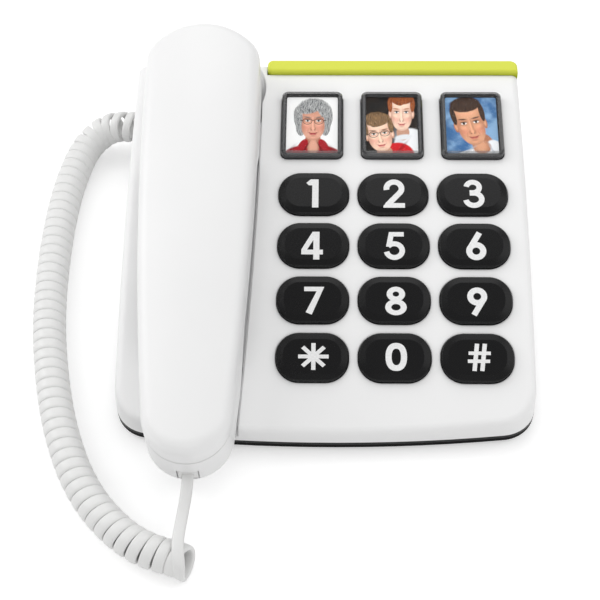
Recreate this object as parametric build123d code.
from build123d import *
import math
import os

# A corded desk telephone: an arched base with large keys and picture keys, a handset in a
# cradle on the left, and a curly cord between them. Millimetres. X runs to the right, Y to the
# back and Z up. The origin is on the floor under the middle of base and handset together.

# Base
BASE_WIDTH = 186.0
BASE_DEPTH = 190.6
PANEL_CREST = 52.0
PANEL_FRONT = 13.87
CREST_TO_BACK = 17.5
FRONT_BOW = 6.0
FRONT_CORNER = 16.0
BACK_CORNER = 5.0
SIDE_DRAFT = 1.5
PANEL_EDGE_ROUND = 3.6
WALL = 2.2
FOOT_HEIGHT = 1.5
FOOT_RADIUS = 6.0
FOOT_SEAT = 0.8
FOOT_TO_SIDE = 23.0
FOOT_TO_FRONT = 24.0
FOOT_TO_BACK = 38.6
COVER_EDGE = 3.0
COVER_FLOOR = 2.2
COVER_INSET = 0.2
COVER_CHAMFER = 0.6
LIP_HEIGHT = 3.0
LIP_THICK = 1.6
FIT = 0.15
SLIDE_GAP = 0.35
SEAT_GAP = 0.3
OVERCUT = 1.0

# Number keys
KEY_WIDTH = 31.9
KEY_DEPTH = 22.1
KEY_END_RADIUS = 10.2
KEY_RISE = 2.6
KEY_SLOPE = 3.2
KEY_SLOPE_DROP = 0.8
KEY_EDGE = 0.4
KEY_COLUMN_PITCH = 36.3
KEY_ROW_PITCH = 26.8
KEYPAD_TO_SIDE = 62.5
KEYPAD_ARC = 105.0
KEY_FLANGE = 1.4
KEY_FLANGE_THICK = 1.4
KEY_SEAT_GAP = 0.35
KEY_STEM_RADIUS = 2.0
KEY_NAMES = [["1", "2", "3"], ["4", "5", "6"], ["7", "8", "9"], ["star", "0", "hash"]]

# Picture keys
PICTURE_KEY_WIDTH = 28.6
PICTURE_KEY_LENGTH = 38.6
PICTURE_KEY_CORNER = 3.0
PICTURE_KEY_RISE = 1.4
PICTURE_PITCH = 37.5
PICTURE_ARC = 25.3
PICTURE_COUNT = 3
CARD_THICK = 0.5
CARD_BORDER = 2.1
LENS_THICK = 2.2
LENS_BEVEL = 0.8

# Keypad board and its rubber sheet
BOARD_ARC = 81.0
BOARD_DROP = 15.0
BOARD_THICK = 1.6
BOARD_LENGTH = 172.0
BOARD_WIDTH = 88.0
SHEET_THICK = 1.2
SHEET_MARGIN = 0.8
SHEET_CORNER = 3.0
DOME_RADIUS = 5.0
DOME_TIP_RADIUS = 3.2
DOME_HEIGHT = 2.4
DOME_GAP = 0.4
POST_RADIUS = 2.7
POST_ARCS = [0.5, 49.3, 162.0]

# Accent strip along the back edge
STRIP_TO_HANDSET = 2.7
STRIP_DEPTH = 9.0
STRIP_RISE = 2.7
STRIP_SEAT = 3.4
STRIP_ROUND = 1.4

# Handset
HANDSET_LENGTH = 218.5
HANDSET_TO_SIDE = 35.0
HANDSET_OVERHANG = 25.0
OVERHANG_DROP = 15.0
HANDSET_TILT = 11.0
SEAM_HEIGHT = 57.0
ARCH_RADIUS = 1000.0
CROWN_HEIGHT = 13.0
CROWN_RADIUS = 70.0
EAR_HALF_WIDTH = 26.4
WAIST_HALF_WIDTH = 25.2
MOUTH_HALF_WIDTH = 19.2
EAR_DOME = 14.0
EAR_CORNER = 13.0
MOUTH_BLEND = 9.0
EAR_DEPTH = 30.0
MOUTH_DEPTH = 28.0
GRIP_DEPTH = 11.0
EAR_CUP_LENGTH = 52.0
MOUTH_CUP_LENGTH = 43.0
CUP_SLOPE = 22.0
CUP_BLEND = 16.0
SHELL_TOP_ROUND = 6.5
SHELL_LOW_ROUND = 4.5
SHELL_WALL = 2.2
SEAM_GROOVE = 0.5
SEAM_GROOVE_HEIGHT = 0.6

# Cradle in the base
TROUGH_DEPTH = 5.0
CRADLE_GAP = 0.5
EAR_POCKET_RADIUS = 28.6
EAR_POCKET_FROM_END = 19.0

# Earpiece, microphone and handset fittings
RECEIVER_RADIUS = 17.0
RECEIVER_RIM = 3.4
RECEIVER_HEIGHT = 7.0
RECEIVER_MAGNET_RADIUS = 9.0
RECEIVER_FROM_END = 28.0
GASKET_THICK = 1.2
GASKET_BAND = 3.0
RIB_THICK = 1.4
RIB_HEIGHT = 4.0
EAR_HOLE_RADIUS = 1.3
EAR_HOLE_RING = 7.0
EAR_HOLE_COUNT = 8
MIC_RADIUS = 4.85
MIC_HEIGHT = 5.0
MIC_BOOT_WALL = 1.6
MIC_FROM_END = 27.5
MIC_SLOT_LENGTH = 6.5
MIC_SLOT_WIDTH = 1.2
MIC_SLOT_PITCH = 2.6
MIC_SLOT_COUNT = 3
WEIGHT_TO_BOSS = 7.8
WEIGHT_WIDTH = 22.0
WEIGHT_THICK = 4.0
GRIP_SCREW_TO_CUP = 3.25

# Modular jacks and plugs
JACK_WIDTH = 11.2
JACK_HEIGHT = 10.5
JACK_LENGTH = 15.0
JACK_BORE_WIDTH = 8.4
JACK_BORE_HEIGHT = 7.2
JACK_BORE_DEPTH = 12.5
JACK_SETBACK = 0.3
JACK_WINDOW_MARGIN = 0.6
PLUG_WIDTH = 7.7
PLUG_HEIGHT = 6.4
PLUG_LENGTH = 12.0
PLUG_LATCH = 1.4
CORD_JACK_TO_BACK = 16.0
CORD_JACK_HEIGHT = 12.9
LINE_JACK_TO_SIDE = 41.0
LINE_JACK_HEIGHT = 17.0
HANDSET_JACK_DROP = 20.0
HANDSET_JACK_SETBACK = 4.2

# Hook switch
PLUNGER_WIDTH = 12.0
PLUNGER_LENGTH = 7.0
PLUNGER_RISE = 5.0
PLUNGER_FLANGE = 1.5
PLUNGER_STEM_RADIUS = 2.0
PLUNGER_STEM = 6.0
PLUNGER_FROM_END = 45.0
HOOK_SPRING_RADIUS = 3.4
HOOK_SPRING_WALL = 0.6
HOOK_SPRING_LENGTH = 9.0
SWITCH_LENGTH = 12.0
SWITCH_WIDTH = 6.5
SWITCH_HEIGHT = 9.0
SWITCH_X = 9.5
SWITCH_BUTTON_X = 7.0
SWITCH_BUTTON_RADIUS = 0.7
PILLAR_WIDTH = 18.0
PILLAR_LENGTH = 10.0
PILLAR_X = 4.0

# Ringer, ballast, ringer switch and screws
RINGER_RADIUS = 17.0
RINGER_RIM = 3.0
RINGER_HEIGHT = 5.0
RINGER_CAP_RADIUS = 9.0
RINGER_TO_SIDE = 31.0
RINGER_TO_BACK = 64.6
RINGER_SLOT_COUNT = 5
RINGER_SLOT_PITCH = 4.5
RINGER_SLOT_WIDTH = 1.8
RINGER_SLOT_LENGTH = 20.0
BALLAST_LENGTH = 92.0
BALLAST_WIDTH = 48.0
BALLAST_THICK = 3.0
BALLAST_TO_PILLAR = 2.0
BALLAST_TO_BACK = 112.6
BALLAST_PIN_RADIUS = 2.0
BALLAST_PIN_SPAN = 70.0
SLIDER_TO_BACK = 46.6
SLIDER_Z = 24.0
SLIDER_LENGTH = 5.0
SLIDER_HEIGHT = 3.6
SLIDER_PROUD = 1.6
SLIDER_TRAVEL = 3.0
SLIDER_PLATE_MARGIN = 1.5
SLIDER_PLATE_THICK = 1.4
SLIDER_BODY_LENGTH = 18.0
SLIDER_BODY_HEIGHT = 8.0
SLIDER_BODY_DEPTH = 6.0
SCREW_RADIUS = 1.5
SCREW_HEAD_RADIUS = 3.0
SCREW_HEAD_HEIGHT = 1.8
SCREW_LENGTH = 12.0
SCREW_GAP = 0.05
BOSS_RADIUS = 4.2
COVER_BOSS_HEIGHT = 5.0
BOSS_FRONT_TO_SIDE = 12.0
BOSS_FRONT_TO_FRONT = 16.0
BOSS_BACK_TO_SIDE = 9.0
BOSS_BACK_TO_BACK = 16.6
BOSS_LEFT_TO_SIDE = 19.0
BOSS_LEFT_TO_FRONT = 46.0
BOSS_LEFT_TO_BACK = 71.6

# Curly cord. Its route is the middle of the coil, from the base's jack to the open end in front
# of the handset: to the right of the base's left side, behind the jack, above the floor.
CORD_DIAMETER = 4.3
CORD_SIDES = 6
ARCS_PER_TURN = 4
COIL_DIAMETER = 14.2
COIL_TURNS = 48.5
COIL_START = -0.25
OPEN_TURNS = 5
OPEN_PITCH = 8.2
COIL_ROUTE = [
    (-6.6, 4.9, 17.8),
    (-14.8, 6.5, 16.0),
    (-22.3, 5.4, 13.4),
    (-28.5, 1.2, 10.9),
    (-32.5, -5.2, 9.0),
    (-35.0, -14.1, 7.8),
    (-37.0, -26.6, 7.2),
    (-38.8, -45.6, 7.2),
    (-39.1, -67.1, 7.2),
    (-37.2, -91.1, 7.2),
    (-34.3, -114.6, 7.2),
    (-30.5, -137.1, 7.2),
    (-25.2, -159.1, 7.2),
    (-18.6, -180.1, 7.2),
    (-10.2, -199.6, 7.2),
    (-0.2, -215.1, 7.2),
    (10.5, -226.3, 7.2),
    (20.5, -233.3, 7.2),
    (31.5, -237.1, 7.2),
]
TAIL_STRAIGHT = 10.0
BEND_SHARE = 0.45

# Places that follow from the sizes above
SIDE_X = BASE_WIDTH / 2
KEYPAD_X = SIDE_X - KEYPAD_TO_SIDE
HANDSET_X = HANDSET_TO_SIDE - SIDE_X
STRIP_LEFT = HANDSET_X + EAR_HALF_WIDTH + STRIP_TO_HANDSET
BALLAST_X = HANDSET_X + PILLAR_X + PILLAR_WIDTH / 2 + BALLAST_TO_PILLAR + BALLAST_LENGTH / 2
BACK_Y = (BASE_DEPTH + HANDSET_OVERHANG) / 2
FRONT_Y = BACK_Y - BASE_DEPTH
CREST_Y = BACK_Y - CREST_TO_BACK
PANEL_RUN = BASE_DEPTH - CREST_TO_BACK
PANEL_FALL = PANEL_CREST - PANEL_FRONT
PANEL_RADIUS = (PANEL_RUN**2 + PANEL_FALL**2) / (2 * PANEL_FALL)
ARC_CENTRE_Z = PANEL_CREST - PANEL_RADIUS
COVER_Z = FOOT_HEIGHT
HOUSING_Z = COVER_Z + COVER_EDGE
COVER_TOP = COVER_Z + COVER_FLOOR
DRAFT_SLOPE = math.tan(math.radians(SIDE_DRAFT))
TILT = math.radians(HANDSET_TILT)
HALF_HANDSET = HANDSET_LENGTH / 2
GRIP_SCREW_SPAN = 2 * (HALF_HANDSET - EAR_CUP_LENGTH - CUP_SLOPE - GRIP_SCREW_TO_CUP)
WEIGHT_LENGTH = GRIP_SCREW_SPAN - 2 * (BOSS_RADIUS + WEIGHT_TO_BOSS)
HANDSET_Y = (
    FRONT_Y - HANDSET_OVERHANG
    + HALF_HANDSET * math.cos(TILT)
    - OVERHANG_DROP * math.sin(TILT)
)
HANDSET_PLANE = Plane(
    origin=(HANDSET_X, HANDSET_Y, SEAM_HEIGHT),
    x_dir=(1, 0, 0),
    z_dir=(0, -math.sin(TILT), math.cos(TILT)),
)
EAR_FLOOR = SHELL_WALL - EAR_DEPTH
MOUTH_FLOOR = SHELL_WALL - MOUTH_DEPTH
GRIP_FLOOR = SHELL_WALL - GRIP_DEPTH
POCKET_FLOOR = -EAR_DEPTH - SEAT_GAP
RECEIVER_Y = HALF_HANDSET - RECEIVER_FROM_END
MIC_Y = MIC_FROM_END - HALF_HANDSET
PLUNGER_Y = HALF_HANDSET - PLUNGER_FROM_END
CORD_JACK_Y = BACK_Y - CORD_JACK_TO_BACK
COIL_RADIUS = (COIL_DIAMETER - CORD_DIAMETER) / 2
FAR = 400.0


def upright(radius, low, high):
    """A round bar along Z between two heights."""
    return extrude(Pos(0, 0, low) * Circle(radius), amount=high - low)


def slab(sketch, low, high):
    """A flat outline raised between two heights."""
    return extrude(Pos(0, 0, low) * sketch, amount=high - low)


def block(width, depth, low, high):
    """A rectangular block between two heights."""
    return slab(Rectangle(width, depth), low, high)


def panel_plane(x, arc):
    """A plane on the arched panel, an arc length in front of the crest, Z along the normal."""
    angle = arc / PANEL_RADIUS
    normal = Vector(0, -math.sin(angle), math.cos(angle))
    centre = Vector(x, CREST_Y, ARC_CENTRE_Z) + normal * PANEL_RADIUS
    return Plane(origin=centre, x_dir=(1, 0, 0), z_dir=normal)


def arch(radius):
    """Solid bar under the arched panel, along X, with a given radius."""
    return Pos(0, CREST_Y, ARC_CENTRE_Z) * Rot(0, 90, 0) * Cylinder(radius, FAR)


def base_plan(inset):
    """Outline of the base seen from above: straight sides, bowed front, rounded corners."""
    half = SIDE_X - inset
    back = BACK_Y - inset
    front = FRONT_Y + inset
    side_front = front + FRONT_BOW
    outline = Curve() + [
        ThreePointArc((-half, side_front), (0, front), (half, side_front)),
        Line((half, side_front), (half, back)),
        Line((half, back), (-half, back)),
        Line((-half, back), (-half, side_front)),
    ]
    face = make_face(outline)
    face = fillet(face.vertices().sort_by(Axis.Y)[:2], FRONT_CORNER - inset)
    return fillet(face.vertices().sort_by(Axis.Y)[-2:], BACK_CORNER - inset)


def base_block(inset, drop):
    """Body of the base under the panel, drawn in at its walls and lowered at its panel."""
    prism = extrude(Pos(0, 0, HOUSING_Z) * base_plan(inset), amount=PANEL_CREST, taper=SIDE_DRAFT)
    return prism & arch(PANEL_RADIUS - drop)


def wall_inset(height):
    """How far the drafted walls have drawn in at a height."""
    return (height - HOUSING_Z) * DRAFT_SLOPE


def handset_plan(grow):
    """Outline of the handset from above, in its own frame: wide ear end, round mouth end."""
    ear_y = HALF_HANDSET - EAR_DOME
    mouth_y = MOUTH_HALF_WIDTH - HALF_HANDSET
    ear = EAR_HALF_WIDTH + grow
    waist = WAIST_HALF_WIDTH + grow
    mouth = MOUTH_HALF_WIDTH + grow
    outline = Curve() + [
        ThreePointArc((mouth, mouth_y), (waist, 0), (ear, ear_y)),
        ThreePointArc((ear, ear_y), (0, HALF_HANDSET + grow), (-ear, ear_y)),
        ThreePointArc((-ear, ear_y), (-waist, 0), (-mouth, mouth_y)),
        ThreePointArc((-mouth, mouth_y), (0, -HALF_HANDSET - grow), (mouth, mouth_y)),
    ]
    face = make_face(outline)
    face = fillet(face.vertices().sort_by(Axis.Y)[:2], MOUTH_BLEND + grow)
    return fillet(face.vertices().sort_by(Axis.Y)[-2:], EAR_CORNER + grow)


def seam_bar(radius):
    """Bar along X under the arched seam of the handset, in the handset's frame."""
    return Pos(0, 0, -ARCH_RADIUS) * Rot(0, 90, 0) * Cylinder(radius, FAR / 2)


def crown(inset):
    """Everything under the crowned, arched back of the handset."""
    top = CROWN_HEIGHT - inset
    edge = EAR_HALF_WIDTH + EAR_CORNER
    sag = CROWN_RADIUS - math.sqrt(CROWN_RADIUS**2 - edge**2)
    low = -2 * EAR_DEPTH
    outline = Curve() + [
        Line((-edge, low), (edge, low)),
        Line((edge, low), (edge, top - sag)),
        ThreePointArc((edge, top - sag), (0, top), (-edge, top - sag)),
        Line((-edge, top - sag), (-edge, low)),
    ]
    hinge = Axis((0, 0, -ARCH_RADIUS), (1, 0, 0))
    half_turn = math.degrees(math.asin(HANDSET_LENGTH * 0.6 / ARCH_RADIUS))
    section = (Plane.XZ * make_face(outline)).rotate(hinge, -half_turn)
    return revolve(section, hinge, 2 * half_turn)


def underside(inset):
    """Everything above the underside of the handset: two deep cups with a thin grip between."""
    reach = HANDSET_LENGTH
    mouth_edge = MOUTH_CUP_LENGTH - HALF_HANDSET
    ear_edge = HALF_HANDSET - EAR_CUP_LENGTH
    route = [
        (-reach, -MOUTH_DEPTH),
        (mouth_edge, -MOUTH_DEPTH),
        (mouth_edge + CUP_SLOPE, -GRIP_DEPTH),
        (ear_edge - CUP_SLOPE, -GRIP_DEPTH),
        (ear_edge, -EAR_DEPTH),
        (reach, -EAR_DEPTH),
    ]
    low = FilletPolyline(*route, radius=CUP_BLEND)
    sides = Polyline(route[-1], (reach, reach), (-reach, reach), route[0])
    face = make_face(Curve() + [low, sides])
    face = offset(face, -inset) if inset else face
    return extrude(Plane.YZ * face, amount=FAR / 4, both=True)


def handset_block(inset):
    """Solid form of the handset, drawn in all round, with square edges."""
    prism = extrude(handset_plan(-inset), amount=FAR / 4, both=True)
    return prism & crown(inset) & underside(inset)


def round_handset(form, top_round, low_round):
    """Round the edge round the handset's back and, if asked, the edge round its underside."""
    back = form.faces().filter_by(GeomType.TORUS)
    form = fillet(back.edges(), top_round)
    if not low_round:
        return form
    low_faces = [f for f in form.faces() if f.normal_at(f.center()).Z < -0.3]
    rims = ShapeList()
    for face in low_faces:
        for edge in face.edges():
            across = abs(edge.tangent_at(0.5).X) > 0.99 and edge.geom_type == GeomType.LINE
            if not across:
                rims.append(edge)
    return fillet(rims, low_round)


def handset_shells():
    """Back and front shells of the handset, parted at the arched seam."""
    outer = round_handset(handset_block(0), SHELL_TOP_ROUND, SHELL_LOW_ROUND)
    inner = round_handset(handset_block(SHELL_WALL), SHELL_TOP_ROUND - SHELL_WALL, 0)
    skin = outer - inner
    below = seam_bar(ARCH_RADIUS)
    back = skin - below
    front = skin & below
    groove = below - seam_bar(ARCH_RADIUS - SEAM_GROOVE_HEIGHT) - handset_block(SEAM_GROOVE)
    front = front - groove
    roof = handset_block(SHELL_WALL / 2)

    for side in (-1, 1):
        spot = Pos(0, side * GRIP_SCREW_SPAN / 2, 0)
        seat = GRIP_FLOOR + SCREW_HEAD_HEIGHT / 2
        split = -BOSS_RADIUS / 2
        boss = upright(BOSS_RADIUS, -GRIP_DEPTH + SHELL_WALL / 2, split)
        post = upright(BOSS_RADIUS, split, CROWN_HEIGHT)
        front = front + spot * boss
        front = front - spot * upright(SCREW_RADIUS + FIT, -GRIP_DEPTH - OVERCUT, split)
        front = front - spot * upright(SCREW_HEAD_RADIUS + FIT, -GRIP_DEPTH - OVERCUT, seat)
        back = back + (spot * post & roof)
        back = back - spot * upright(SCREW_RADIUS + SCREW_GAP, split, seat + SCREW_LENGTH + OVERCUT)

    ring = Circle(RECEIVER_RADIUS + FIT + RIB_THICK) - Circle(RECEIVER_RADIUS + FIT)
    front = front + Pos(0, RECEIVER_Y, 0) * slab(ring, EAR_FLOOR, EAR_FLOOR + RIB_HEIGHT)
    boot = MIC_RADIUS + MIC_BOOT_WALL + FIT
    ring = Circle(boot + RIB_THICK) - Circle(boot)
    front = front + Pos(0, MIC_Y, 0) * slab(ring, MOUTH_FLOOR, MOUTH_FLOOR + RIB_HEIGHT)
    jack_low = -HANDSET_JACK_DROP - JACK_HEIGHT / 2
    jack_middle = HANDSET_JACK_SETBACK + JACK_LENGTH / 2 - HALF_HANDSET
    front = front + Pos(0, jack_middle, 0) * block(JACK_WIDTH, JACK_LENGTH / 2, MOUTH_FLOOR, jack_low)

    hole = upright(EAR_HOLE_RADIUS, -EAR_DEPTH - OVERCUT, EAR_FLOOR + OVERCUT)
    front = front - Pos(0, RECEIVER_Y, 0) * hole
    for spot in PolarLocations(EAR_HOLE_RING, EAR_HOLE_COUNT):
        front = front - Pos(0, RECEIVER_Y, 0) * spot * hole
    slot = SlotOverall(MIC_SLOT_LENGTH, MIC_SLOT_WIDTH)
    for spot in GridLocations(0, MIC_SLOT_PITCH, 1, MIC_SLOT_COUNT):
        front = front - Pos(0, MIC_Y, 0) * spot * slab(slot, -MOUTH_DEPTH - OVERCUT, MOUTH_FLOOR + OVERCUT)
    window = Rectangle(
        JACK_BORE_WIDTH + 2 * JACK_WINDOW_MARGIN, JACK_BORE_HEIGHT + 2 * JACK_WINDOW_MARGIN
    )
    mouth_tip = Vector(0, -HALF_HANDSET - OVERCUT, -HANDSET_JACK_DROP)
    mouth_end = Plane(origin=mouth_tip, x_dir=(1, 0, 0), z_dir=(0, 1, 0))
    front = front - extrude(mouth_end * window, amount=HANDSET_JACK_SETBACK + OVERCUT)
    return HANDSET_PLANE.location * back, HANDSET_PLANE.location * front


def jack():
    """A modular jack: a block with a stepped socket. Its mouth is at the origin, facing -X."""
    body = Pos(JACK_LENGTH / 2, 0, 0) * Box(JACK_LENGTH, JACK_WIDTH, JACK_HEIGHT)
    bore = Pos(JACK_BORE_DEPTH / 2, 0, 0) * Box(JACK_BORE_DEPTH, JACK_BORE_WIDTH, JACK_BORE_HEIGHT)
    return body - bore


def plug():
    """A modular plug in its jack, with a sprung latch on top and a flat face for the cord."""
    body = Pos(PLUG_LENGTH / 2 + FIT, 0, 0) * Box(PLUG_LENGTH, PLUG_WIDTH, PLUG_HEIGHT)
    body = chamfer(body.edges().filter_by(Axis.Z).sort_by(Axis.X)[-2:], PLUG_LATCH / 2)
    notch = Pos(PLUG_LENGTH * 0.6, 0, PLUG_HEIGHT / 2) * Box(PLUG_LENGTH * 0.5, PLUG_WIDTH / 2, PLUG_LATCH)
    return body - notch


JACK_IN_BASE_X = -(SIDE_X - wall_inset(CORD_JACK_HEIGHT) - WALL) + JACK_SETBACK
JACK_IN_BASE = Pos(JACK_IN_BASE_X, CORD_JACK_Y, CORD_JACK_HEIGHT)
LINE_JACK_X = SIDE_X - LINE_JACK_TO_SIDE
LINE_JACK_Y = BACK_Y - wall_inset(LINE_JACK_HEIGHT) - WALL - JACK_SETBACK
LINE_JACK_PLACE = Pos(LINE_JACK_X, LINE_JACK_Y, LINE_JACK_HEIGHT) * Rot(0, 0, -90)
HANDSET_JACK_PLACE = (
    HANDSET_PLANE.location
    * Pos(0, HANDSET_JACK_SETBACK - HALF_HANDSET, -HANDSET_JACK_DROP)
    * Rot(0, 0, 90)
)


def key_frames():
    """Each number key's name and the plane of the panel at its middle."""
    frames = []
    rows = len(KEY_NAMES)
    for row, names in enumerate(KEY_NAMES):
        arc = KEYPAD_ARC + (row - (rows - 1) / 2) * KEY_ROW_PITCH
        for column, name in enumerate(names):
            x = KEYPAD_X + (column - (len(names) - 1) / 2) * KEY_COLUMN_PITCH
            frames.append((name, panel_plane(x, arc)))
    return frames


def picture_frames():
    """Each picture key's number and the plane of the panel at its middle."""
    frames = []
    for index in range(PICTURE_COUNT):
        x = KEYPAD_X + (index - (PICTURE_COUNT - 1) / 2) * PICTURE_PITCH
        frames.append((str(index + 1), panel_plane(x, PICTURE_ARC)))
    return frames


def key_outline(grow=0.0):
    radius = KEY_END_RADIUS + grow
    return RectangleRounded(KEY_WIDTH + 2 * grow, KEY_DEPTH + 2 * grow, radius)


def picture_outline(grow=0.0):
    radius = PICTURE_KEY_CORNER + grow
    return RectangleRounded(PICTURE_KEY_WIDTH + 2 * grow, PICTURE_KEY_LENGTH + 2 * grow, radius)


BOARD_PLANE = panel_plane(KEYPAD_X, BOARD_ARC).offset(-BOARD_DROP)


def drop_to_dome(frame):
    """Length along a key's axis from the panel down to the tip of its dome."""
    tip = BOARD_PLANE.offset(SHEET_THICK + DOME_HEIGHT)
    return (frame.origin - tip.origin).dot(tip.z_dir) / frame.z_dir.dot(tip.z_dir)


def key_flange_top(depth):
    """Height of a key's flange in the key's own frame: clear of the arched panel at its ends."""
    half = depth / 2 + KEY_FLANGE
    return -WALL - KEY_SEAT_GAP - half**2 / (2 * PANEL_RADIUS)


def key_base(frame, flange, top):
    """Retaining flange and stem that every key has under the panel, in the key's own frame."""
    low = top - KEY_FLANGE_THICK
    stem = upright(KEY_STEM_RADIUS, DOME_GAP - drop_to_dome(frame), low)
    return slab(flange, low, top) + stem


def number_key(frame):
    top = key_flange_top(KEY_DEPTH)
    cap = slab(key_outline(), top, KEY_RISE)
    table = cap.faces().sort_by(Axis.Z)[-1]
    cap = chamfer(table.edges(), KEY_SLOPE, KEY_SLOPE_DROP, reference=table)
    cap = chamfer(cap.edges().filter_by(Plane.XY).group_by(Axis.Z)[-2], KEY_EDGE)
    return frame.location * (cap + key_base(frame, key_outline(KEY_FLANGE), top))


CARD_OUTLINE = RectangleRounded(
    PICTURE_KEY_WIDTH - 2 * CARD_BORDER,
    PICTURE_KEY_LENGTH - 2 * CARD_BORDER,
    PICTURE_KEY_CORNER / 3,
)


def picture_key(frame):
    top = key_flange_top(PICTURE_KEY_LENGTH)
    cap = slab(picture_outline(), top, PICTURE_KEY_RISE)
    cap = cap - slab(CARD_OUTLINE, PICTURE_KEY_RISE - CARD_THICK - FIT, PICTURE_KEY_RISE)
    return frame.location * (cap + key_base(frame, picture_outline(KEY_FLANGE), top))


def picture_card(frame):
    low = PICTURE_KEY_RISE - CARD_THICK - FIT
    card = slab(offset(CARD_OUTLINE, -FIT), low, low + CARD_THICK)
    return frame.location * card


def picture_lens(frame):
    lens = slab(picture_outline(), PICTURE_KEY_RISE, PICTURE_KEY_RISE + LENS_THICK)
    lens = chamfer(lens.faces().sort_by(Axis.Z)[-1].edges(), LENS_BEVEL)
    return frame.location * lens


def post_spots():
    """Places of the board's posts on the board plane, in the gaps between the keys."""
    spots = []
    for arc in POST_ARCS:
        y = PANEL_RADIUS * math.sin((BOARD_ARC - arc) / PANEL_RADIUS)
        for side in (-0.5, 0.5):
            spots.append(Pos(side * KEY_COLUMN_PITCH, y, 0))
    return spots


def keypad_board():
    board = slab(Rectangle(BOARD_WIDTH, BOARD_LENGTH), -BOARD_THICK, 0)
    for spot in post_spots():
        board = board - spot * upright(SCREW_RADIUS + FIT, -BOARD_THICK, 0)
    return BOARD_PLANE.location * board


def board_screws():
    screws = []
    for spot in post_spots():
        head = upright(SCREW_HEAD_RADIUS, -BOARD_THICK - SCREW_HEAD_HEIGHT, -BOARD_THICK)
        shank = upright(SCREW_RADIUS, -BOARD_THICK, POST_RADIUS)
        screws.append(BOARD_PLANE.location * spot * (head + shank))
    return Compound(children=[s.solid() for s in screws])


def rubber_sheet():
    """Rubber sheet with one dome under each key, holed round the board's posts."""
    width = BOARD_WIDTH - 2 * SHEET_MARGIN
    length = BOARD_LENGTH - 2 * SHEET_MARGIN
    sheet = slab(RectangleRounded(width, length, SHEET_CORNER), 0, SHEET_THICK)
    for spot in post_spots():
        sheet = sheet - spot * upright(POST_RADIUS + SLIDE_GAP, 0, SHEET_THICK)
    for name, frame in key_frames() + picture_frames():
        foot = frame.origin - frame.z_dir * drop_to_dome(frame)
        local = BOARD_PLANE.to_local_coords(foot)
        dome = Cone(DOME_RADIUS, DOME_TIP_RADIUS, DOME_HEIGHT)
        sheet = sheet + Pos(local.X, local.Y, SHEET_THICK + DOME_HEIGHT / 2) * dome
    return BOARD_PLANE.location * sheet


def strip_region(grow):
    """Plan of the accent strip: the back edge of the base, right of the cradle."""
    edge = base_plan(wall_inset(PANEL_CREST) - grow)
    reach = BASE_WIDTH
    window = Pos(STRIP_LEFT - grow + reach / 2, BACK_Y - STRIP_DEPTH - grow + reach / 2)
    return edge & (window * Rectangle(reach, reach))


def accent_strip():
    low = PANEL_CREST - STRIP_SEAT
    strip = slab(strip_region(0), low, PANEL_CREST + STRIP_RISE)
    ends = strip.edges().filter_by(Axis.Z).sort_by(Axis.X)[:2]
    strip = fillet(ends, STRIP_ROUND * 2)
    return fillet(strip.faces().sort_by(Axis.Z)[-1].edges(), STRIP_ROUND)


def cradle(grow):
    """Room for the handset in the base: a shallow trough, a round ear pocket and a mouth rest."""
    plan = handset_plan(CRADLE_GAP + grow)
    plan = plan + Pos(0, HALF_HANDSET - EAR_POCKET_FROM_END) * Circle(EAR_POCKET_RADIUS + grow)
    trough = HANDSET_PLANE.location * extrude(plan, amount=FAR / 2, both=True)
    trough = trough - arch(PANEL_RADIUS - TROUGH_DEPTH - grow)
    pocket = slab(plan, POCKET_FLOOR - grow, FAR / 4)
    ear_edge = HALF_HANDSET - EAR_CUP_LENGTH - CUP_SLOPE / 2 - grow
    pocket = pocket & Pos(0, ear_edge + FAR / 2, 0) * Box(FAR, FAR, FAR)
    rest = slab(plan, -MOUTH_DEPTH - SEAT_GAP - grow, FAR / 4)
    mouth_edge = MOUTH_CUP_LENGTH - HALF_HANDSET + CUP_SLOPE / 2 + grow
    rest = rest & Pos(0, mouth_edge - FAR / 2, 0) * Box(FAR, FAR, FAR)
    return trough + HANDSET_PLANE.location * pocket + HANDSET_PLANE.location * rest


def boss_spots():
    """Places of the four screw bosses, each held off its two nearest walls."""
    left = BOSS_LEFT_TO_SIDE - SIDE_X
    return [
        Pos(SIDE_X - BOSS_FRONT_TO_SIDE, FRONT_Y + BOSS_FRONT_TO_FRONT, 0),
        Pos(SIDE_X - BOSS_BACK_TO_SIDE, BACK_Y - BOSS_BACK_TO_BACK, 0),
        Pos(left, FRONT_Y + BOSS_LEFT_TO_FRONT, 0),
        Pos(left, BACK_Y - BOSS_LEFT_TO_BACK, 0),
    ]


def jack_window(length):
    """Opening through a wall in front of a jack whose mouth is at the origin, facing -X."""
    height = JACK_BORE_HEIGHT + 2 * JACK_WINDOW_MARGIN
    width = JACK_BORE_WIDTH + 2 * JACK_WINDOW_MARGIN
    return Pos(-length / 2, 0, 0) * Box(length, width, height)


def slider_place():
    """Middle of the ringer switch's slot, on the inside of the right wall."""
    inner = SIDE_X - wall_inset(SLIDER_Z) - WALL
    return Pos(inner, BACK_Y - SLIDER_TO_BACK, SLIDER_Z)


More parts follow.
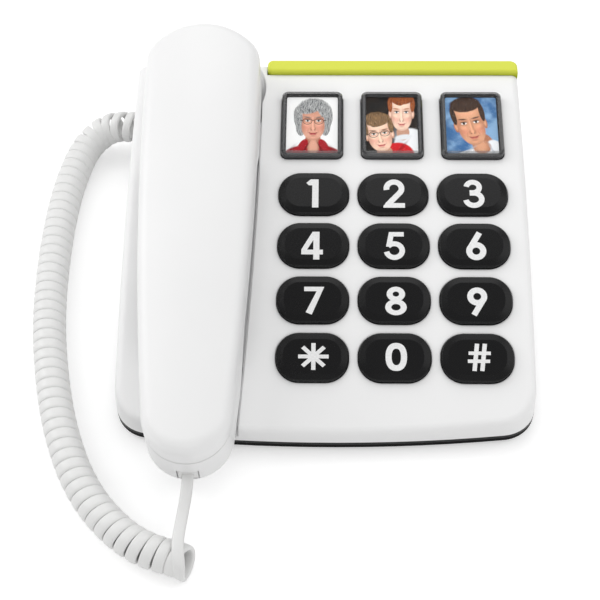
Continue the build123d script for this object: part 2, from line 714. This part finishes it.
def top_housing():
    outer = base_block(0, 0)
    panel = outer.faces().filter_by(GeomType.CYLINDER).sort_by(SortBy.RADIUS)[-1]
    outer = fillet(panel.edges(), PANEL_EDGE_ROUND)
    shell = outer - base_block(WALL, WALL)
    shell = shell + (cradle(WALL) & outer)

    boss_low = HOUSING_Z + COVER_BOSS_HEIGHT
    bosses = [spot * upright(BOSS_RADIUS, boss_low, PANEL_CREST) for spot in boss_spots()]
    posts = [BOARD_PLANE.location * spot * upright(POST_RADIUS, 0, BOARD_DROP) for spot in post_spots()]
    inside = base_block(WALL / 2, WALL / 2)
    for column in bosses + posts:
        shell = shell + (column & inside)
    shell = shell - cradle(0)

    screw_top = HOUSING_Z + SCREW_LENGTH + OVERCUT
    for spot in boss_spots():
        shell = shell - spot * upright(SCREW_RADIUS + SCREW_GAP, boss_low, screw_top)
    for spot in post_spots():
        pilot = upright(SCREW_RADIUS + SCREW_GAP, 0, POST_RADIUS + SEAT_GAP)
        shell = shell - BOARD_PLANE.location * spot * pilot

    reach = 2 * WALL
    for name, frame in key_frames():
        shell = shell - frame.location * slab(key_outline(SLIDE_GAP), -reach, reach)
    for name, frame in picture_frames():
        shell = shell - frame.location * slab(picture_outline(SLIDE_GAP), -reach, reach)
    shell = shell - slab(strip_region(FIT), PANEL_CREST - STRIP_SEAT, FAR / 4)

    shell = shell - JACK_IN_BASE * jack_window(reach)
    shell = shell - LINE_JACK_PLACE * jack_window(reach)
    slot = Box(reach * 2, SLIDER_LENGTH + 2 * SLIDER_TRAVEL + 2 * SLIDE_GAP, SLIDER_HEIGHT + 2 * SLIDE_GAP)
    shell = shell - slider_place() * slot
    button = Rectangle(PLUNGER_WIDTH + 2 * SLIDE_GAP, PLUNGER_LENGTH + 2 * SLIDE_GAP)
    hole = Pos(0, PLUNGER_Y, 0) * slab(button, POCKET_FLOOR - reach, POCKET_FLOOR + OVERCUT)
    return shell - HANDSET_PLANE.location * hole


def plunger_flange_low():
    return POCKET_FLOOR - WALL - PLUNGER_RISE - SEAT_GAP - PLUNGER_FLANGE


def hook_spring_low():
    return plunger_flange_low() - HOOK_SPRING_LENGTH


def hook_plunger():
    cap = Rectangle(PLUNGER_WIDTH, PLUNGER_LENGTH)
    low = plunger_flange_low()
    body = slab(cap, low, POCKET_FLOOR)
    body = fillet(body.faces().sort_by(Axis.Z)[-1].edges(), PLUNGER_FLANGE / 2)
    wide = Rectangle(PLUNGER_WIDTH + 2 * PLUNGER_FLANGE, PLUNGER_LENGTH + 2 * PLUNGER_FLANGE)
    body = body + slab(wide, low, low + PLUNGER_FLANGE)
    body = body + upright(PLUNGER_STEM_RADIUS, low - PLUNGER_STEM, low)
    return HANDSET_PLANE.location * Pos(0, PLUNGER_Y, 0) * body


def hook_spring():
    ring = Circle(HOOK_SPRING_RADIUS) - Circle(HOOK_SPRING_RADIUS - HOOK_SPRING_WALL)
    sleeve = slab(ring, hook_spring_low(), plunger_flange_low())
    return HANDSET_PLANE.location * Pos(0, PLUNGER_Y, 0) * sleeve


def switch_low():
    return plunger_flange_low() - SEAT_GAP - PLUNGER_FLANGE - SWITCH_HEIGHT


def hook_switch():
    top = switch_low() + SWITCH_HEIGHT
    body = Pos(SWITCH_X, 0, 0) * block(SWITCH_WIDTH, SWITCH_LENGTH, switch_low(), top)
    button = upright(SWITCH_BUTTON_RADIUS, top, top + PLUNGER_FLANGE)
    return HANDSET_PLANE.location * Pos(0, PLUNGER_Y, 0) * (body + Pos(SWITCH_BUTTON_X, 0, 0) * button)


def hook_pillar():
    """Pillar on the bottom cover that carries the hook switch and its spring."""
    low = switch_low()
    pillar = Pos(PILLAR_X, 0, 0) * block(PILLAR_WIDTH, PILLAR_LENGTH, low - FAR / 4, low)
    seat = upright(HOOK_SPRING_RADIUS + RIB_THICK / 2, low - OVERCUT, hook_spring_low())
    whole = HANDSET_PLANE.location * Pos(0, PLUNGER_Y, 0) * (pillar + seat)
    return whole & Pos(0, 0, COVER_TOP - WALL / 2 + FAR / 2) * Box(FAR, FAR, FAR)


def foot_spots():
    rows = (FRONT_Y + FOOT_TO_FRONT, BACK_Y - FOOT_TO_BACK)
    return [Pos(side * (SIDE_X - FOOT_TO_SIDE), y, 0) for side in (-1, 1) for y in rows]


def ringer_place():
    return Pos(SIDE_X - RINGER_TO_SIDE, BACK_Y - RINGER_TO_BACK, 0)


def ballast_place():
    return Pos(BALLAST_X, BACK_Y - BALLAST_TO_BACK, 0)


def bottom_cover():
    cover = slab(base_plan(COVER_INSET), COVER_Z, HOUSING_Z)
    cover = chamfer(cover.faces().sort_by(Axis.Z)[0].edges(), COVER_CHAMFER)
    lip_outer = base_plan(WALL + FIT)
    lip_inner = base_plan(WALL + FIT + LIP_THICK)
    cover = cover + slab(lip_outer, HOUSING_Z, HOUSING_Z + LIP_HEIGHT)
    cover = cover - slab(lip_inner, COVER_TOP, HOUSING_Z + LIP_HEIGHT)

    boss_top = HOUSING_Z + COVER_BOSS_HEIGHT
    seat = HOUSING_Z
    for spot in boss_spots():
        cover = cover + spot * upright(BOSS_RADIUS + LIP_THICK / 2, COVER_TOP, boss_top)
        cover = cover - spot * upright(SCREW_RADIUS + FIT, COVER_Z, boss_top)
        cover = cover - spot * upright(SCREW_HEAD_RADIUS + FIT, COVER_Z, seat)
    for spot in foot_spots():
        cover = cover - spot * upright(FOOT_RADIUS + FIT, COVER_Z, COVER_Z + FOOT_SEAT)

    ring = Circle(RINGER_RADIUS + FIT + RIB_THICK) - Circle(RINGER_RADIUS + FIT)
    cover = cover + ringer_place() * slab(ring, COVER_TOP, COVER_TOP + RIB_HEIGHT)
    slot = SlotOverall(RINGER_SLOT_LENGTH, RINGER_SLOT_WIDTH)
    for spot in GridLocations(0, RINGER_SLOT_PITCH, 1, RINGER_SLOT_COUNT):
        cover = cover - ringer_place() * spot * slab(slot, COVER_Z, COVER_TOP)
    for spot in GridLocations(BALLAST_PIN_SPAN, 0, 2, 1):
        pin = upright(BALLAST_PIN_RADIUS, COVER_TOP, COVER_TOP + BALLAST_THICK)
        cover = cover + ballast_place() * spot * pin

    jack_low = CORD_JACK_HEIGHT - JACK_HEIGHT / 2
    middle = Pos(JACK_IN_BASE_X + JACK_LENGTH / 2, CORD_JACK_Y, 0)
    cover = cover + middle * block(JACK_LENGTH / 2, JACK_WIDTH, COVER_TOP, jack_low)
    jack_low = LINE_JACK_HEIGHT - JACK_HEIGHT / 2
    middle = Pos(LINE_JACK_X, LINE_JACK_Y - JACK_LENGTH / 2, 0)
    cover = cover + middle * block(JACK_WIDTH, JACK_LENGTH / 2, COVER_TOP, jack_low)
    body_low = SLIDER_Z - SLIDER_BODY_HEIGHT / 2
    middle = slider_place() * Pos(slider_body_x(), 0, -SLIDER_Z)
    cover = cover + middle * block(SLIDER_BODY_DEPTH, SLIDER_BODY_LENGTH / 2, COVER_TOP, body_low)
    return cover + hook_pillar()


def slider_body_x():
    """Middle of the switch body behind the slider's plate, from the inside of the wall."""
    return -SEAT_GAP - SLIDER_PLATE_THICK - FIT - SLIDER_BODY_DEPTH / 2


def ringer_slider():
    plate_length = SLIDER_LENGTH + 2 * SLIDER_PLATE_MARGIN
    plate_height = SLIDER_HEIGHT + 2 * SLIDER_PLATE_MARGIN
    plate_x = -SEAT_GAP - SLIDER_PLATE_THICK / 2
    plate = Pos(plate_x, 0, 0) * Box(SLIDER_PLATE_THICK, plate_length, plate_height)
    knob_reach = SEAT_GAP + WALL + SLIDER_PROUD
    knob = Pos(knob_reach / 2 - SEAT_GAP, 0, 0) * Box(knob_reach, SLIDER_LENGTH, SLIDER_HEIGHT)
    knob = chamfer(knob.faces().sort_by(Axis.X)[-1].edges(), SLIDER_PROUD / 3)
    return slider_place() * (plate + knob)


def ringer_switch():
    size = (SLIDER_BODY_DEPTH, SLIDER_BODY_LENGTH, SLIDER_BODY_HEIGHT)
    return slider_place() * Pos(slider_body_x(), 0, 0) * Box(*size)


def screw(seat, length):
    """A screw driven upwards, its head under the seat."""
    shank = upright(SCREW_RADIUS, seat, seat + length)
    return upright(SCREW_HEAD_RADIUS, seat - SCREW_HEAD_HEIGHT, seat) + shank


def housing_screws():
    return Compound(children=[(spot * screw(HOUSING_Z, SCREW_LENGTH)).solid() for spot in boss_spots()])


def rubber_feet():
    foot = upright(FOOT_RADIUS, 0, COVER_Z + FOOT_SEAT)
    foot = chamfer(foot.faces().sort_by(Axis.Z)[0].edges(), FOOT_HEIGHT / 3)
    return Compound(children=[(spot * foot).solid() for spot in foot_spots()])


def stepped_disc(radius, rim, core, height):
    """A round driver: a flat rim with a narrower back."""
    return upright(radius, 0, rim) + upright(core, rim, height)


def ringer():
    disc = stepped_disc(RINGER_RADIUS, RINGER_RIM, RINGER_CAP_RADIUS, RINGER_HEIGHT)
    return ringer_place() * Pos(0, 0, COVER_TOP) * disc


def ballast():
    plate = block(BALLAST_LENGTH, BALLAST_WIDTH, COVER_TOP, COVER_TOP + BALLAST_THICK)
    for spot in GridLocations(BALLAST_PIN_SPAN, 0, 2, 1):
        plate = plate - spot * upright(BALLAST_PIN_RADIUS + FIT, COVER_TOP, COVER_TOP + BALLAST_THICK)
    return ballast_place() * plate


def handset_screws():
    seat = GRIP_FLOOR + SCREW_HEAD_HEIGHT / 2
    spots = [Pos(0, side * GRIP_SCREW_SPAN / 2, 0) for side in (-1, 1)]
    placed = [HANDSET_PLANE.location * spot * screw(seat, SCREW_LENGTH) for spot in spots]
    return Compound(children=[s.solid() for s in placed])


def in_handset(shape, y, z):
    return HANDSET_PLANE.location * Pos(0, y, z) * shape


def receiver_gasket():
    ring = Circle(RECEIVER_RADIUS) - Circle(RECEIVER_RADIUS - GASKET_BAND)
    return in_handset(slab(ring, 0, GASKET_THICK), RECEIVER_Y, EAR_FLOOR)


def receiver():
    disc = stepped_disc(RECEIVER_RADIUS, RECEIVER_RIM, RECEIVER_MAGNET_RADIUS, RECEIVER_HEIGHT)
    return in_handset(disc, RECEIVER_Y, EAR_FLOOR + GASKET_THICK)


def microphone():
    return in_handset(upright(MIC_RADIUS, 0, MIC_HEIGHT), MIC_Y, MOUTH_FLOOR)


def microphone_boot():
    ring = Circle(MIC_RADIUS + MIC_BOOT_WALL) - Circle(MIC_RADIUS + SCREW_GAP)
    return in_handset(slab(ring, 0, MIC_HEIGHT + RIB_THICK), MIC_Y, MOUTH_FLOOR)


def handset_weight():
    bar = block(WEIGHT_WIDTH, WEIGHT_LENGTH, 0, WEIGHT_THICK)
    return in_handset(bar, 0, GRIP_FLOOR)


def round_route(points, label):
    """Straight runs between points, joined by the largest tangent arcs that they allow."""
    radii = []
    for before, here, after in zip(points, points[1:], points[2:]):
        turn = math.radians((here - before).get_angle(after - here))
        shorter = min((here - before).length, (after - here).length)
        radii.append(BEND_SHARE * shorter / math.tan(turn / 2))
    print(label, "bend radii", [round(r) for r in radii])
    return Wire(FilletPolyline(*points, radius=radii).edges())


def helix_point(path, turns):
    """A point of the curly cord after a number of turns round a path, the first ones pulled open."""
    opened = min(turns, OPEN_TURNS)
    close_pitch = (path.length - OPEN_TURNS * OPEN_PITCH) / (COIL_TURNS - OPEN_TURNS)
    along = opened * OPEN_PITCH + (turns - opened) * close_pitch
    share = min(1.0, along / path.length)
    ahead = path.tangent_at(share)
    side = ahead.cross(Vector(0, 0, 1)).normalized()
    rise = side.cross(ahead)
    angle = 2 * math.pi * (turns + COIL_START)
    return path.position_at(share) + (side * math.cos(angle) + rise * math.sin(angle)) * COIL_RADIUS


def biarc(start, start_dir, end, end_dir):
    """Two arcs that join two points with given directions."""
    span = end - start
    both = start_dir + end_dir
    bend = 2 * (1 - start_dir.dot(end_dir))
    reach = span.dot(both)
    if bend < 1e-6:
        length = span.dot(span) / (2 * reach)
    else:
        length = (math.sqrt(reach**2 + bend * span.dot(span)) - reach) / bend
    first = start + start_dir * length
    last = end - end_dir * length
    middle = (first + last) * 0.5
    return [
        Edge.make_tangent_arc(start, start_dir, middle),
        Edge.make_tangent_arc(middle, (last - first).normalized(), end),
    ]


def cord_section(start, direction):
    """The cord's section at its start, square to its direction."""
    plane = Plane(origin=start, z_dir=direction)
    return plane * RegularPolygon(CORD_DIAMETER / 2, CORD_SIDES)


def curly_cord():
    """The cord's curls as one tube, with its open end's place and direction."""
    path = round_route([Vector(x - SIDE_X, y + CORD_JACK_Y, z) for x, y, z in COIL_ROUTE], "coil")
    nudge = 1e-3
    start = Vector(JACK_IN_BASE_X + FIT, CORD_JACK_Y, CORD_JACK_HEIGHT)
    lead_end = Vector(helix_point(path, 0).X + COIL_RADIUS, CORD_JACK_Y, CORD_JACK_HEIGHT)
    stations = [(lead_end, (lead_end - start).normalized())]
    for index in range(round(2 * COIL_TURNS) + 1):
        turns = index / 2
        before = helix_point(path, max(0.0, turns - nudge))
        after = helix_point(path, min(COIL_TURNS, turns + nudge))
        stations.append((helix_point(path, turns), (after - before).normalized()))
    last = stations[-1][0]
    last_dir = (tail_corner() - last).normalized()
    stations[-1] = (last, last_dir)
    edges = [Edge.make_line(start, lead_end)]
    for (p, p_dir), (q, q_dir) in zip(stations, stations[1:]):
        edges += biarc(p, p_dir, q, q_dir)
    end = last + last_dir * CORD_DIAMETER
    edges.append(Edge.make_line(last, end))
    tightest = min(e.radius for e in edges if e.geom_type == GeomType.CIRCLE)
    wire = Wire(edges)
    print("curly cord", round(wire.length), "mm of cord, tightest arc", round(tightest, 2))
    print("curly cord least gap", round(least_gap(edges), 2))
    return sweep(cord_section(start, stations[0][1]), path=wire, clean=False), end, last_dir


def least_gap(edges):
    """Least clear distance between neighbouring turns, on points along the cord's arcs."""
    shares = (0.0, 0.25, 0.5, 0.75)
    points = [e.position_at(share) for e in edges for share in shares]
    half_turn = ARCS_PER_TURN // 2 * len(shares)
    least = FAR
    for i, p in enumerate(points):
        for q in points[i + half_turn : i + 4 * half_turn]:
            least = min(least, (q - p).length)
    return least - CORD_DIAMETER


def tail_corner():
    """Where the cord bends into the straight stretch in front of the handset's jack."""
    return cord_end_in_handset() - HANDSET_PLANE.y_dir * TAIL_STRAIGHT


def cord_end_in_handset():
    return (HANDSET_JACK_PLACE * Pos(FIT, 0, 0)).position


def cord_tail(start, direction):
    """The straight end of the cord, from the open end of the coil up to the plug in the handset."""
    path = round_route([start, tail_corner(), cord_end_in_handset()], "tail")
    tube = sweep(Plane(origin=start, z_dir=direction) * Circle(CORD_DIAMETER / 2), path=path)
    expected = math.pi * CORD_DIAMETER**2 / 4 * path.length
    print("cord tail volume", round(tube.volume), "expected", round(expected))
    return tube


def save(name, shape):
    os.makedirs("parts", exist_ok=True)
    export_step(shape, os.path.join("parts", name + ".step"))


def main():
    save("top_housing", top_housing())
    save("bottom_cover", bottom_cover())
    save("accent_strip", accent_strip())
    save("rubber_feet", rubber_feet())
    save("housing_screws", housing_screws())
    save("keypad_board", keypad_board())
    save("board_screws", board_screws())
    save("keypad_rubber_sheet", rubber_sheet())
    for name, frame in key_frames():
        save("key_" + name, number_key(frame))
    for name, frame in picture_frames():
        save("picture_key_" + name, picture_key(frame))
        save("picture_card_" + name, picture_card(frame))
        save("picture_lens_" + name, picture_lens(frame))
    save("ringer", ringer())
    save("ballast_plate", ballast())
    save("ringer_switch", ringer_switch())
    save("ringer_slider", ringer_slider())
    save("hook_plunger", hook_plunger())
    save("hook_spring", hook_spring())
    save("hook_switch", hook_switch())
    save("line_jack", LINE_JACK_PLACE * jack())
    save("cord_jack_base", JACK_IN_BASE * jack())
    save("cord_plug_base", JACK_IN_BASE * plug())
    back_shell, front_shell = handset_shells()
    save("handset_back_shell", back_shell)
    save("handset_front_shell", front_shell)
    save("handset_screws", handset_screws())
    save("receiver", receiver())
    save("receiver_gasket", receiver_gasket())
    save("microphone", microphone())
    save("microphone_boot", microphone_boot())
    save("handset_weight", handset_weight())
    save("cord_jack_handset", HANDSET_JACK_PLACE * jack())
    save("cord_plug_handset", HANDSET_JACK_PLACE * plug())
    cord, tail_start, tail_direction = curly_cord()
    save("curly_cord", cord)
    save("cord_tail", cord_tail(tail_start, tail_direction))


if __name__ == "__main__":
    main()
